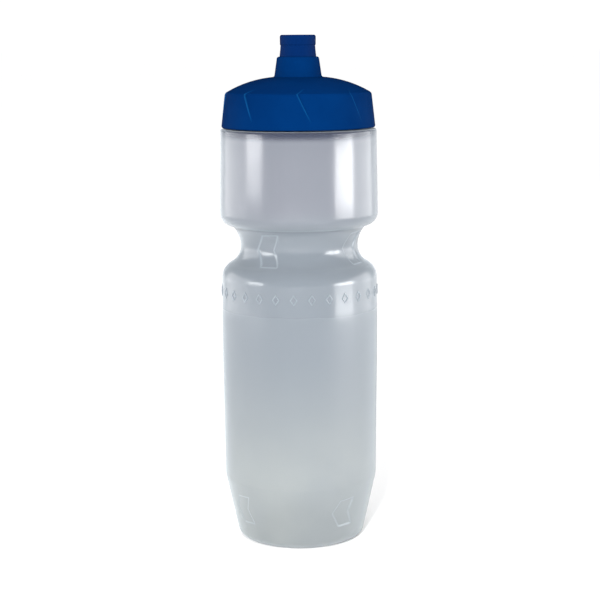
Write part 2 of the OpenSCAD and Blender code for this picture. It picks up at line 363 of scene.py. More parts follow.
class Value:
    """A socket of a shader that can be used in Python expressions."""

    def __init__(self, tree: "Tree", socket: NodeSocket | None) -> None:
        """Wraps a socket of a node tree."""
        self.tree, self.socket = tree, socket

    __add__ = __radd__ = math_node("ADD")
    __mul__ = __rmul__ = math_node("MULTIPLY")
    __sub__, __rsub__ = math_node("SUBTRACT"), math_node("SUBTRACT", swapped=True)

    def ramp(self, low: float, high: float, out: tuple[float, float] = (0.0, 1.0)) -> "Value":
        """Maps low..high smoothly onto out and holds the ends."""
        return self.tree.node(
            "ShaderNodeMapRange", {"interpolation_type": "SMOOTHSTEP"},
            {"Value": self, "From Min": low, "From Max": high, "To Min": out[0], "To Max": out[1]})


class Tree:
    """The node tree of a material or a world, with one method that adds any node."""

    def __init__(self, owner: Material | World) -> None:
        """Empties the owner's node tree."""
        self.owner = owner
        owner.use_nodes = True
        self.nodes, self.links = owner.node_tree.nodes, owner.node_tree.links
        self.nodes.clear()

    @classmethod
    def material(cls, name: str) -> "Tree":
        """Starts a new material of that name."""
        return cls(bpy.data.materials.new(name))

    def node(self, kind: str, settings: dict[str, object] | None = None,
             inputs: dict[object, object] | None = None, output: object = 0) -> Value:
        """Adds a node.

        Args:
            kind: Type of the node.
            settings: Properties, set before the sockets.
            inputs: Socket name or number to a value or a Value.
            output: Name or number of the socket that is returned.

        Returns:
            The chosen output, empty for a node that has none.
        """
        made = self.nodes.new(kind)
        for key, value in (settings or {}).items():
            setattr(made, key, value)
        for key, value in (inputs or {}).items():
            if isinstance(value, Value):
                self.links.new(value.socket, made.inputs[key])
            else:
                made.inputs[key].default_value = value
        return Value(self, made.outputs[output] if made.outputs else None)

    def place(self) -> Value:
        """Object coordinates."""
        return self.node("ShaderNodeTexCoord", output="Object")

    def height(self) -> Value:
        """Height above the floor in millimetres, from the object coordinates."""
        return self.node("ShaderNodeSeparateXYZ", None, {0: self.place()}, "Z") * 1000.0

    def tag(self, name: str) -> Value:
        """An attribute of the mesh."""
        return self.node("ShaderNodeAttribute", {"attribute_name": name}, output="Fac")

    def noise(self, scale: float, detail: float, stretch: tuple = (1, 1, 1),
              roughness: float = 0.5) -> Value:
        """Noise on object coordinates, scale per metre, drawn out by stretch."""
        spot = self.node("ShaderNodeMapping", None, {"Vector": self.place(), "Scale": stretch})
        return self.node("ShaderNodeTexNoise", None,
                         {"Vector": spot, "Scale": scale, "Detail": detail, "Roughness": roughness})

    def blend(self, mask: Value, a: Value | tuple, b: Value | tuple) -> Value:
        """Colour a where mask is 0 and b where it is 1."""
        a, b = (c if isinstance(c, Value) else (*c, 1.0) for c in (a, b))
        return self.node("ShaderNodeMix", {"data_type": "RGBA"}, {"Factor": mask, 6: a, 7: b}, 2)

    def bump(self, height: Value, distance: float, strength: float) -> Value:
        """Bump from a height, distance in metres."""
        return self.node("ShaderNodeBump", None,
                         {"Height": height, "Distance": distance, "Strength": strength})

    def finish(self, surface: Value, output: str = "ShaderNodeOutputMaterial") -> object:
        """Joins the surface to the output and returns the material or world."""
        self.node(output, None, {"Surface": surface})
        return self.owner


# ---- finishes


@dataclass(frozen=True)
class FrostedShell:
    """Blown translucent plastic: frosted below the diamonds, glossier above them.

    The outer skin lets a little light through and the inner one much more, so the push-up and
    the far side show faintly. A pale sheen lightens the wall where it turns away.

    Attributes:
        name: Name of the material.
        body: Colour of the drum.
        waist: Colour between the band and the drum.
        foot: Colour towards the foot: a greener grey, partly painted lighter where the downturned foot
            falls into shade.
        cloud: Colour of the faint cloudiness in the plastic.
        painted_cap_shade: Painted shadow of the cap on the drum's top edge, dark and tinted blue as if
            the cap showed through.
        thick: Painted highlight on the diamonds' ribs and along the grip panels' edges, where they catch
            the light.
        veil: Opacity of the outer skin.
        lining_veil: Opacity of the inner skin.
        gloss: Roughness above the diamonds.
        matte: Roughness below them.
        foot_veil: Opacity of the outer skin at the foot.
        veil_fade: Heights in millimetres between which foot_veil turns into veil.
        foot_fade: Heights between which foot turns into waist.
        waist_fade: Heights between which waist turns into body.
        gloss_fade: Heights between which matte turns into gloss.
        cap_shade_in: Heights between which the painted cap shadow comes in.
        cap_shade_out: Heights between which it goes again.
    """

    name: str = "frosted_shell"
    body: tuple = (0.155, 0.163, 0.190)
    waist: tuple = (0.158, 0.180, 0.204)
    foot: tuple = (0.285, 0.305, 0.298)
    cloud: tuple = (0.165, 0.186, 0.212)
    painted_cap_shade: tuple = (0.012, 0.016, 0.040)
    thick: tuple = (0.36, 0.41, 0.45)
    veil: float = 0.76
    lining_veil: float = 0.42
    gloss: float = 0.2
    matte: float = 0.46
    foot_veil: float = 0.68
    veil_fade: tuple = (12.0, 40.0)
    foot_fade: tuple = (2.0, 100.0)
    waist_fade: tuple = (148.0, 160.0)
    gloss_fade: tuple = (106.0, 113.0)
    cap_shade_in: tuple = (189.0, 192.5)
    cap_shade_out: tuple = (193.6, 194.4)

    def build(self) -> Material:
        """Makes the material."""
        t = Tree.material(self.name)
        z = t.height()
        cloudiness = t.noise(16, 4).ramp(0.35, 0.7) * 0.45
        # towards the foot: a greener tint, and painted light where the downturned foot falls into shade
        colour = t.blend(z.ramp(*self.foot_fade), self.foot, self.waist)
        colour = t.blend(z.ramp(*self.waist_fade), colour, self.body)
        colour = t.blend(cloudiness, colour, self.cloud)
        # painted shadow of the cap: the drum's top edge is painted dark and blue
        rim = z.ramp(*self.cap_shade_in) * z.ramp(*self.cap_shade_out, (0.85, 0.0))
        colour = t.blend(rim, colour, self.painted_cap_shade)
        rough = z.ramp(*self.gloss_fade, (self.matte, self.gloss)) + (t.noise(90, 3) - 0.5) * 0.08
        waves = t.noise(70, 2, (1, 1, 0.25)) * 0.7 + t.noise(1400, 2) * 0.05
        # painted highlight on the diamonds' ribs and along the grip panels' edges
        colour = t.blend(t.tag("thick") * 0.42, colour, self.thick)
        shell = t.node("ShaderNodeBsdfPrincipled", None, {
            "Base Color": colour, "Roughness": rough, "IOR": 1.5, "Specular IOR Level": 0.5,
            "Sheen Weight": 0.46, "Sheen Roughness": 0.5, "Sheen Tint": (0.86, 0.94, 1.0, 1.0),
            "Normal": t.bump(waves, 0.0003, 0.35)})
        veil = z.ramp(*self.veil_fade, (self.foot_veil, self.veil))
        veil = t.tag("lining") * (self.lining_veil - self.veil) + veil
        clear = t.node("ShaderNodeBsdfTransparent", None, {"Color": (0.93, 0.95, 0.97, 1.0)})
        return t.finish(t.node("ShaderNodeMixShader", None, {0: veil, 1: clear, 2: shell}))


@dataclass(frozen=True)
class MouldedPlastic:
    """Moulded plastic with a fine satin grain, a blotchy tone and a painted highlight on the panels'
    lips.

    Attributes:
        name: Name of the material.
        colour: Main colour.
        shade: Colour in the blotches.
        edge: Painted highlight on the panels' lips and crease walls, paler where they catch the light.
        grain: Grain size per metre.
        depth: Depth of the grain in metres.
        rough: Lowest and highest roughness.
        specular: Strength of the gloss.
        tint: Colour of the gloss.
    """

    name: str
    colour: tuple
    shade: tuple
    edge: tuple = (0.003, 0.050, 0.150)
    grain: float = 2600.0
    depth: float = 0.00004
    rough: tuple = (0.42, 0.56)
    specular: float = 0.002
    tint: tuple = (0.4, 0.7, 1.0, 1.0)

    def build(self) -> Material:
        """Makes the material."""
        t = Tree.material(self.name)
        blotch = t.noise(45, 4).ramp(0.3, 0.7)
        # painted highlight on the panels' lips and crease walls
        colour = t.blend(t.tag("edge") * 0.8, t.blend(blotch, self.colour, self.shade), self.edge)
        grain = t.noise(self.grain, 2, roughness=0.6)
        surface = t.node("ShaderNodeBsdfPrincipled", None, {
            "Base Color": colour, "Roughness": blotch.ramp(0, 1, self.rough),
            "Specular IOR Level": self.specular, "Specular Tint": self.tint,
            "Normal": t.bump(grain, self.depth, 0.5)})
        return t.finish(surface)


@dataclass(frozen=True)
class SoftSeal:
    """Milky rubber or silicone with a dull, dusty surface.

    Attributes:
        name: Name of the material.
        colour: Main colour.
        shade: Colour in the blotches.
        sheen: Strength of the dusty sheen.
    """

    name: str
    colour: tuple = (0.62, 0.63, 0.64)
    shade: tuple = (0.52, 0.53, 0.55)
    sheen: float = 0.3

    def build(self) -> Material:
        """Makes the material."""
        t = Tree.material(self.name)
        dust = t.noise(300, 4).ramp(0.35, 0.65)
        return t.finish(t.node("ShaderNodeBsdfPrincipled", None, {
            "Base Color": t.blend(dust, self.colour, self.shade),
            "Roughness": dust.ramp(0, 1, (0.5, 0.65)), "Sheen Weight": self.sheen,
            "Normal": t.bump(t.noise(1800, 2), 0.00003, 0.4)}))


# ---- the blown bottle


@dataclass
class BlownBottle:
    """The blown body with its neck, grip panels, diamonds and neck thread.

    Lengths are in millimetres and follow the CAD, but the drum is 0.03 mm slimmer so that it stays
    inside the CAD's box. The place of the first diamond is in degrees.
    """

    drum_r: float = 36.97
    band_r: float = 36.55
    foot_top_r: float = 36.0
    foot_r: float = 29.4
    foot_h: float = 30.0
    band_z: float = 88.0
    band_top_z: float = 112.0
    waist_r: float = 27.45
    waist_z: float = 139.5
    shoulder_z: float = 193.9
    wall: float = 1.2
    push_h: float = 12.0
    push_r: float = 22.5
    foot_corner: float = 4.5
    heel_r: float = 10.0
    hip_r: float = 8.0
    waist_low_r: float = 9.0
    waist_high_r: float = 14.0
    belly_r: float = 6.0
    belly_rise: float = 15.7
    neck_r: float = 30.4
    neck_wall: float = 1.8
    neck_top: float = 207.4
    thread_h: float = 1.4
    thread_lead: float = 5.0
    thread_turns: float = 1.25
    thread_rise: float = 4.9
    thread_sink: float = 0.3
    diamonds: int = 28
    first_diamond: float = -4.2
    diamond_z: float = 118.8
    grip_depth: float = 0.45
    columns: int = 384

    def outline(self, t: float, fine: bool) -> Grid:
        """Outline from the push-up's middle to the shoulder, moved inwards by t.

        It is a chain of arcs and lines: hollow arcs grow with t and rounded ones shrink.
        A fine outline has close rings where the grip panels lie.

        Args:
            t: How far the outline is moved into the wall.
            fine: Whether to add the close rings.

        Returns:
            (n, 2) points in millimetres, the first one near the axis.
        """
        upper_r = self.band_r - 0.1
        ball = (self.push_r**2 + self.push_h**2) / (2 * self.push_h)
        ring = sqrt((ball + t) ** 2 - (ball - self.push_h + t) ** 2)
        ring_a = degrees(atan2(ball - self.push_h + t, ring))
        tilt = degrees(atan((self.foot_top_r - self.foot_r) / self.foot_h))
        lean = degrees(atan((self.band_r - self.foot_top_r) / (self.band_z - self.foot_h)))
        corner_x = self.foot_r - self.foot_corner * (
            1 - sin(radians(tilt))) / cos(radians(tilt))
        back = self.heel_r / cos(radians((tilt - lean) / 2))
        heel_x = self.foot_top_r - back * cos(radians((tilt + lean) / 2))
        heel_z = self.foot_h + back * sin(radians((tilt + lean) / 2))
        reach = self.waist_r + self.waist_low_r - upper_r + self.hip_r
        drop = sqrt((self.hip_r + self.waist_low_r) ** 2 - reach**2)
        hip_a = degrees(atan2(drop, reach))
        hollow_x, belly_x = self.waist_r + self.waist_high_r, self.drum_r - self.belly_r
        belly_z = self.waist_z + self.belly_rise
        span = hypot(hollow_x - belly_x, self.belly_rise)
        line_a = degrees(atan2(self.belly_rise, belly_x - hollow_x))
        high, low = self.waist_high_r + t, self.belly_r - t

        def corner(a: float, b: float, c: float) -> float:
            """Angle between sides a and b of a triangle whose third side is c."""
            return degrees(acos((a * a + b * b - c * c) / (2 * a * b)))

        crease = line_a + corner(span, high, low)
        # two arcs start a few degrees late, as the one before ends where they would begin
        parts = [
            arc(0, self.push_h - ball, ball + t, 86, ring_a, 9),
            arc(corner_x, self.foot_corner, self.foot_corner - t, -90, -tilt, 8),
            arc(heel_x, heel_z, self.heel_r - t, -tilt, -lean, 4),
            np.array([[self.band_r - t, self.band_z], [self.band_r - t, self.band_top_z],
                      [upper_r + 0.06 - t, self.band_top_z + 0.3]]),
            arc(upper_r - self.hip_r, self.waist_z - drop, self.hip_r - t, 0, hip_a, 9),
            arc(self.waist_r + self.waist_low_r, self.waist_z, self.waist_low_r + t,
                180 + hip_a, 180, 16 if fine else 6),
            arc(hollow_x, self.waist_z, high, 178, crease, 20 if fine else 7),
            arc(belly_x, belly_z, low, line_a - 180 - corner(span, low, high) + 4, 0, 12),
            arc(self.drum_r - 1.7, self.shoulder_z - 1, max(1 - t, 0.2), 2, 90, 5),
        ]
        line = np.concatenate(parts)
        return self._close_rings(line) if fine else np.vstack([line[:-1:2], line[-1:]])

    def _close_rings(self, line: Grid) -> Grid:
        """Adds rings at most 0.55 mm apart over the foot's and waist's grips, and a few elsewhere."""
        close, wide = 0.55, 16.0
        foot_low, foot_high, waist_low, waist_high, heel_top = 9.5, 24.8, 131.6, 148.2, 35.0
        r, z = line[:, 0], line[:, 1]
        outside = r > self.push_r
        cone = line[outside & (z < heel_top)]
        levels = np.arange(foot_low, foot_high, close)
        foot = np.stack([np.interp(levels, cone[:, 1], cone[:, 0]), levels], axis=1)
        parts = [line[(z < foot_low) | ~outside], resampled(foot, close)]
        for low, high, step in ((foot_high, waist_low, wide), (waist_low, waist_high, close),
                                (waist_high, self.shoulder_z, wide)):
            parts.append(resampled(line[outside & (z >= low) & (z <= high)], step))
        return np.concatenate(parts)

    def grips(self, radius: Grid, height: Grid, azimuth: Grid) -> tuple[Grid, Grid]:
        """How deep each point lies in a grip panel, and how near it lies to a panel's edge.

        Each panel's outline is flat in (radius x sin of the angle from its middle, height). The
        depth rises smoothly from 0 to 1 across the edge, and the nearness is a bell curve about it.

        Args:
            radius: (rings, 1) radii.
            height: (rings, 1) heights.
            azimuth: (columns,) azimuths in radians.

        Returns:
            Two (rings, columns) arrays: the share of the full depth, and the nearness.
        """
        half_slope, spread = 0.3, 0.35
        waist = np.array([[54.8, 146.6], [71, 147], [64.5, 140.1], [71.5, 132.7], [54.8, 132.6],
                          [46.8, 140.2]])
        foot = np.array([[32.5, 23.2], [45.2, 23.8], [41.2, 17.6], [46.3, 10.7], [33.4, 10.4],
                         [26, 17.4]])
        depth = np.zeros(np.broadcast(radius, azimuth).shape)
        edge = np.zeros(depth.shape)
        for outline, mid, flat_r in ((waist, 57, self.waist_r + 1.15), (foot, 36, self.foot_top_r - 2.6)):
            corners = np.stack([flat_r * np.sin(np.radians(outline[:, 0] - mid)), outline[:, 1]], axis=1)
            for turn in range(4):
                off = azimuth - radians(mid + 90 * turn)
                u = np.where(np.cos(off) > 0.5, radius * np.sin(off), 1e3)
                d = inside_distance(u, np.broadcast_to(height, u.shape), corners)
                depth += smooth(-half_slope, half_slope, d)
                edge += np.exp(-(d / spread) ** 2)
        return depth, edge

    def shell(self) -> Object:
        """The closed shell: outer skin, neck and inner skin, with the grips pressed in."""
        z, r, w = self.neck_top, self.neck_r, self.neck_wall
        neck = rounded([(r + 0.8, self.shoulder_z, 0), (r, self.shoulder_z, 0.6), (r, z, 0.6),
                        (r - w, z, 0.6), (r - w, self.shoulder_z + 0.4, 1.0),
                        (r - w + 1.6, self.shoulder_z - self.wall - 0.3, 0)], 4, closed=False)
        outer, inner = distinct(self.outline(0, True)), self.outline(self.wall, False)[::-1]
        line = np.concatenate([outer, neck, inner])
        lining = np.concatenate([np.zeros(len(outer) + len(neck)), np.ones(len(inner))])
        azimuth = np.arange(self.columns) * TAU / self.columns
        normal = outward(line, closed=False)
        radius, height = line[:, :1], line[:, 1:]
        depth, edge = np.zeros((2, len(line), self.columns))
        rows = slice(0, len(outer))
        depth[rows], edge[rows] = self.grips(radius[rows], height[rows], azimuth)
        sink = -self.grip_depth * depth
        points = lathe(radius + normal[:, :1] * sink, height + normal[:, 1:] * sink, azimuth)
        skin = Skin("bottle_shell", 50)
        # nearness to the grip panels' edges is the mask of a painted highlight
        skin.add(points, Ends.POLES, (self.push_h, self.push_h + self.wall),
                 lining=lining[:, None], thick=edge)
        return skin.make()

    def diamond_ring(self) -> Object:
        """The raised diamonds: a low rounded rib swept round each diamond's outline.

        A point goes round the diamond with t and across its rib from the outer outline to 0.62
        of its size with s; its height above the wall follows a half-round profile.
        """
        half_w, half_h, corner_steps = 1.8, 2.65, 12
        across = np.array([1.0, 0.985, 0.93, 0.81, 0.69, 0.635, 0.62])
        proud = np.array([-0.15, 0.2, 0.34, 0.4, 0.34, 0.2, -0.15])
        corners = np.array([[half_w, 0], [0, half_h], [-half_w, 0], [0, -half_h], [half_w, 0]])
        t = np.linspace(0, 4, 4 * corner_steps, endpoint=False)
        path = np.stack([np.interp(t, np.arange(5), corners[:, k]) for k in (0, 1)], axis=1)
        path = (path + np.roll(path, 1, axis=0) + np.roll(path, -1, axis=0)) / 3
        skin = Skin("diamond_ring", 60)
        for i in range(self.diamonds):
            middle = radians(self.first_diamond + i * 360 / self.diamonds)
            flat = path[None] * across[:, None, None]
            radius = self.band_r - 0.1 + proud[:, None]
            points = lathe(radius, self.diamond_z + flat[..., 1], middle + flat[..., 0] / self.band_r)
            # the diamonds' ribs get the painted highlight
            skin.add(points, Ends.LOOP, thick=0.7)
        return skin.make()

    def build(self, plastic: Material) -> None:
        """Makes and dresses the bottle's pieces."""
        settle(self.shell(), Body.BOTTLE, Slot.BODY, plastic, "bottle_body")
        settle(self.diamond_ring(), Body.BOTTLE, Slot.BODY, plastic)
        thread = thread_ridge("neck_thread", self.neck_r - self.thread_sink,
                              self.neck_r + self.thread_h, self.shoulder_z + self.thread_rise,
                              self.thread_turns, self.thread_lead)
        settle(thread, Body.BOTTLE, Slot.BODY, plastic)


def thread_ridge(name: str, root_r: float, crest_r: float, start_z: float, turns: float,
                 lead: float) -> Object:
    """A helical ridge: a trapezium carried up a helix, 0.3 of its height at both ends.

    At turn t a section point keeps its height offset and sits at start_z + lead x t. The crest
    reaches its full height over the first eighth of a turn and falls over the last.

    Args:
        name: Name of the piece.
        root_r: Radius of the foot of the ridge, sunk in its wall.
        crest_r: Radius of its crest.
        start_z: Height of its middle at the start.
        turns: Number of turns.
        lead: Rise in one turn.

    Returns:
        The object.
    """
    steps = ceil(turns * 96)
    t = np.linspace(0, turns, steps + 1)
    run = np.clip(np.minimum(t, turns - t) / 0.125, 0, 1)
    crest = root_r + (crest_r - root_r) * (0.3 + 0.7 * run)
    part = np.array([0.0, 0.7, 0.95, 1.0, 1.0, 0.95, 0.7, 0.0])
    rise = np.array([-1.1, -0.75, -0.58, -0.45, 0.45, 0.58, 0.75, 1.1])
    radius = root_r + (crest[:, None] - root_r) * part
    height = start_z + lead * t[:, None] + rise
    azimuth = np.pi / 2 + TAU * t[:, None]
    points = lathe(radius, height, azimuth)
    skin = Skin(name, 50)
    skin.add(points[:, ::-1] if crest_r > root_r else points, Ends.OPEN_CAPS)
    return skin.make()


# ---- the cap


@dataclass
class ScrewCap:
    """The screw cap: shingled skirt, dome, fixed collar, tower with its plug, and its thread.

    Lengths are in millimetres. The first crease and the panel floor's lean are in degrees, and the
    leans of a crease are in degrees per millimetre.
    """

    rim_r: float = 35.75
    top_r: float = 33.9
    rim_z: float = 194.6
    dome_top: float = 217.8
    corner_drop: float = 7.1
    dome_r: float = 51.0
    dome_x: float = 7.4
    corner_r: float = 2.0
    skirt_r: float = 32.3
    ceiling_z: float = 209.05
    panels: int = 8
    panel_depth: float = 0.9
    floor_lean: float = 41.0
    bevel_in: float = 4.0
    bevel_up: float = 2.3
    panel_end: float = 6.0
    first_crease: float = -0.85
    lean_down: float = 0.8
    lean_up: float = 2.7
    collar_r: float = 11.0
    collar_bore: float = 8.55
    tower_r: float = 5.3
    tower_bore: float = 4.1
    head_r: float = 5.95
    per_panel: int = 56
    thread_r: float = 30.9
    thread_sink: float = 0.4
    thread_rise: float = 2.0
    thread_turns: float = 1.25
    thread_lead: float = 5.0

    @property
    def corner_z(self) -> float:
        """Height of the cap's shoulder."""
        return self.dome_top - self.corner_drop

    def outside(self) -> Grid:
        """Outline from the rim up the skirt, over the shoulder and dome to the collar's foot."""
        lean = atan((self.rim_r - self.top_r) / (self.corner_z - self.rim_z))
        along = np.array([-sin(lean), cos(lean)])
        out = np.array([cos(lean), sin(lean)])
        rim = np.array([self.rim_r, self.rim_z])
        ball = np.array([self.dome_x, self.dome_top - self.dome_r])
        start = rim - out * self.corner_r - ball
        b = float(start @ along)
        u = -b + sqrt(b * b - float(start @ start) + (self.dome_r - self.corner_r) ** 2)
        c = rim - out * self.corner_r + along * u
        top_a = degrees(atan2(c[1] - ball[1], c[0] - ball[0]))
        side = np.stack([rim + along * 0.5, c + out * self.corner_r])
        # the dome's middle arc has close rings, as the panels' inner edge runs there
        return np.concatenate([
            resampled(side, 0.7)[:-1],
            arc(c[0], c[1], self.corner_r, degrees(lean), top_a, 10),
            arc(ball[0], ball[1], self.dome_r, top_a + 0.4, 65.2, 8),
            arc(ball[0], ball[1], self.dome_r, 65.4, 66.6, 6),
            arc(ball[0], ball[1], self.dome_r, 66.8, 84.5, 24)])

    def recess(self, line: Grid, azimuth: Grid, base: Grid) -> tuple[Grid, Grid]:
        """How far each point of the outside is pushed in for its panel, and where its edge runs.

        The panel's floor is the same turned shape moved sideways, away from its crease, so at an
        angle a from the crease's foot it lies depth x (cos a - sin a / tan floor_lean) inside the
        skin. The skirt's cone and the bevel on the shoulder bound it: a point moves in until it
        is inside both.

        Args:
            line: (n, 2) outline.
            azimuth: (n, columns) azimuths.
            base: (columns,) azimuth of each column's panel.

        Returns:
            (n, columns) distances in millimetres along the normals, and the share from 0 to 1 in
            which each point lies on the panel's inner edge on the dome.
        """
        off = azimuth - base
        shift = self.panel_depth * (np.cos(off) - np.sin(off) / tan(radians(self.floor_lean)))
        shift = np.where(shift > 0, shift, 0)
        r, z = line[:, :1] + shift, line[:, 1:]
        wide, narrow = self.rim_r + self.panel_depth, self.top_r - 0.1
        slope = (wide - narrow) / (self.corner_z - self.rim_z)
        cone = r - (wide - slope * (z - self.rim_z))
        size, least = hypot(self.bevel_in, self.bevel_up), 0.15
        bevel = (r - narrow) * self.bevel_up / size + (z - self.corner_z) * self.bevel_in / size
        n = outward(line, closed=False)
        n_r, n_z = n[:, :1], n[:, 1:]
        by_cone = cone / np.maximum(n_r + slope * n_z, least)
        by_bevel = bevel / np.maximum((n_r * self.bevel_up + n_z * self.bevel_in) / size, least)
        push = np.maximum(np.maximum(by_cone, by_bevel), 0)
        inner = smooth(self.top_r - self.panel_end, self.top_r - self.panel_end + 0.6, line[:, :1])
        deep = np.where(shift > 0, push, 0)
        # the share on the panel's inner edge is the mask of a painted highlight
        return deep * inner, 4 * inner * (1 - inner) * np.clip(deep * 3, 0, 1)

    def inside(self) -> Grid:
        """Outline from the collar's foot over the collar and tower, then under the dome to the rim."""
        d = self.dome_top
        return rounded([
            (self.collar_r + 1.0, d - 0.2, 0), (self.collar_r, d - 0.15, 1.0),
            (self.collar_r - 1.35, d + 9.1, 1.0), (self.collar_bore, d + 9.1, 0.12),
            (self.collar_bore, d - 0.5, 0.3), (self.tower_r, d - 0.5, 0.3),
            (self.tower_r, d + 7.4, 0.1), (self.head_r, d + 7.4, 0.1),
            (self.head_r, d + 9.7, 0.08), (self.head_r - 1.08, d + 9.7, 0.05),
            (self.head_r - 1.08, d + 10.9, 0.05), (self.head_r, d + 10.9, 0.08),
            (self.head_r, d + 12.4, 0.5), (self.tower_bore, d + 12.4, 0.4),
            (self.tower_bore, d - 2.4, 0.2), (7.8, d - 2.4, 0.2), (7.8, d - 4, 0.1),
            (9.15, d - 4, 0.1), (9.15, d - 7.7, 0.1), (8.95, d - 7.9, 0.05),
            (9.6, d - 8.3, 0.1), (10.6, d - 8.3, 0.3), (10.6, d - 2.4, 0.5),
            (18, d - 3.1, 1.0), (26, d - 5.3, 1.0), (27.4, d - 7, 0.4),
            (27.4, self.ceiling_z, 0.3), (self.skirt_r, self.ceiling_z, 0.8),
            (self.skirt_r, self.rim_z + 5, 1.0), (33.8, self.rim_z, 0.3),
            (self.rim_r - 0.35, self.rim_z, 0)], 4, closed=False)

    def shell(self) -> Object:
        """The cap as one closed skin whose columns follow the leaning creases.

        Column azimuth = crease + share of the panel; the crease turns lean_down degrees per
        millimetre below the shoulder and lean_up above it. Two columns lie together at each
        crease: one on the skin and one on the panel's floor, which makes the crease's wall.
        """
        outside, inside = self.outside(), self.inside()
        line = np.concatenate([outside, inside])
        z = np.where(np.arange(len(line)) < len(outside), line[:, 1], self.dome_top)
        rise = np.clip(z - self.corner_z, None, self.bevel_up)
        fade = np.concatenate([np.ones(len(outside)), np.zeros(len(inside))])
        turn = np.where(rise < 0, -rise * self.lean_down, rise * self.lean_up) * fade
        gap, crowding = 0.012, 1.15
        spread = np.linspace(0, 1, self.per_panel - 1)[:-1] ** crowding
        share = np.concatenate([[0.0], gap + (1 - gap) * spread])
        step = TAU / self.panels
        base = np.radians(self.first_crease) + step * np.repeat(np.arange(self.panels), len(share))
        lateral = np.tile(share, self.panels) * step
        azimuth = base[None] + lateral[None] + np.radians(turn)[:, None]
        push, edge = np.zeros((2, *azimuth.shape))
        rows = slice(0, len(outside))
        push[rows], edge[rows] = self.recess(outside, azimuth[rows], base)
        # the crease walls get the mask of the painted highlight
        lip = np.flatnonzero(np.tile(np.arange(len(share)) == 0, self.panels))
        edge[:, lip] = np.clip(push[:, lip] * 2.5, 0, 1)
        push[:, lip] = 0
        n = outward(line, closed=True)
        points = lathe(line[:, :1] - n[:, :1] * push, line[:, 1:] - n[:, 1:] * push, azimuth)
        skin = Skin("cap_shell", 38)
        skin.add(points, Ends.LOOP, edge=edge)
        return skin.make()

    def plug(self) -> Object:
        """The plug in the mouth and its three spokes: a turned stem, and ribs with round edges."""
        top, foot = self.dome_top + 18.2, self.dome_top + 10.6
        stem_r, plug_r = 2.0, 2.95
        line = rounded([(0.3, foot, 0), (stem_r, foot, 0.2), (stem_r, top - 3.8, 0.3),
                        (plug_r, top - 2.9, 0.3), (plug_r, top, 0.5), (0.3, top, 0)], 4, closed=False)
        skin = Skin("mouth_plug")
        azimuth = np.arange(48) * TAU / 48
        skin.add(lathe(line[:, :1], line[:, 1:], azimuth), Ends.POLES, (foot, top))
        section = rounded([(-0.6, foot + 0.1, 0.2), (0.6, foot + 0.1, 0.2), (0.6, foot + 1.1, 0.2),
                           (-0.6, foot + 1.1, 0.2)], 3)
        reach = np.array([1.0, self.tower_bore + 0.4])[:, None]
        for i in range(3):
            a = radians(180 - 120 * i)
            rib = np.stack([reach * sin(a) + section[:, 0] * cos(a),
                            -reach * cos(a) + section[:, 0] * sin(a),
                            np.broadcast_to(section[:, 1], (2, len(section)))], axis=-1)
            skin.add(rib, Ends.OPEN_CAPS)
        return skin.make()

    def build(self, plastic: Material) -> None:
        """Makes and dresses the cap's pieces."""
        settle(self.shell(), Body.CAP, Slot.CAP, plastic, "cap")
        settle(self.plug(), Body.CAP, Slot.CAP, plastic)
        thread = thread_ridge("cap_thread", self.skirt_r + self.thread_sink, self.thread_r,
                              self.rim_z + self.thread_rise, self.thread_turns, self.thread_lead)
        settle(thread, Body.CAP, Slot.CAP, plastic)


@dataclass
class PushPullNozzle:
    """The sliding nozzle: a hard core and the soft sleeve that one bites."""

    outer_r: float = 8.5
    foot_z: float = 217.4
    step_z: float = 226.7
    core_top: float = 235.1
    top: float = 236.8
    mouth_r: float = 3.0
    neck_r: float = 6.9

    def core(self) -> Object:
        """The hard slider: a tube with a stop rib inside its foot."""
        return turned("nozzle_slider", rounded([
            (self.outer_r, self.foot_z, 0.3), (self.outer_r, self.step_z, 0.05),
            (self.neck_r, self.step_z, 0.1), (self.neck_r, self.core_top, 0.1),
            (self.mouth_r, self.core_top, 0.1), (self.mouth_r, self.core_top - 1.8, 0.2),
            (6.0, self.core_top - 3.7, 0.5), (6.0, self.foot_z + 1.3, 0.1),
            (5.45, self.foot_z + 1.2, 0.1), (5.45, self.foot_z, 0.1)], 4))

    def sleeve(self) -> Object:
        """The soft spout: a waisted sleeve with a rolled lip and a rounded mouth."""
        lip = self.top - 4.4
        return turned("bite_spout", rounded([
            (self.neck_r, self.step_z, 0), (self.outer_r, self.step_z, 0.25),
            (self.outer_r - 0.3, self.step_z + 2.7, 2.0), (self.outer_r - 0.52, lip - 0.4, 0.3),
            (self.outer_r - 0.24, lip, 0.25), (self.outer_r - 0.2, self.top, 0.9),
            (self.mouth_r, self.top, 0.5), (self.mouth_r, self.core_top, 0),
            (self.neck_r, self.core_top, 0)], 6), 160)

    def build(self, hard: Material, soft: Material) -> None:
        """Makes and dresses the two pieces."""
        settle(self.core(), Body.NOZZLE, Slot.NOZZLE, hard, "nozzle_core")
        settle(self.sleeve(), Body.NOZZLE, Slot.RUBBER, soft, "bite_sleeve")


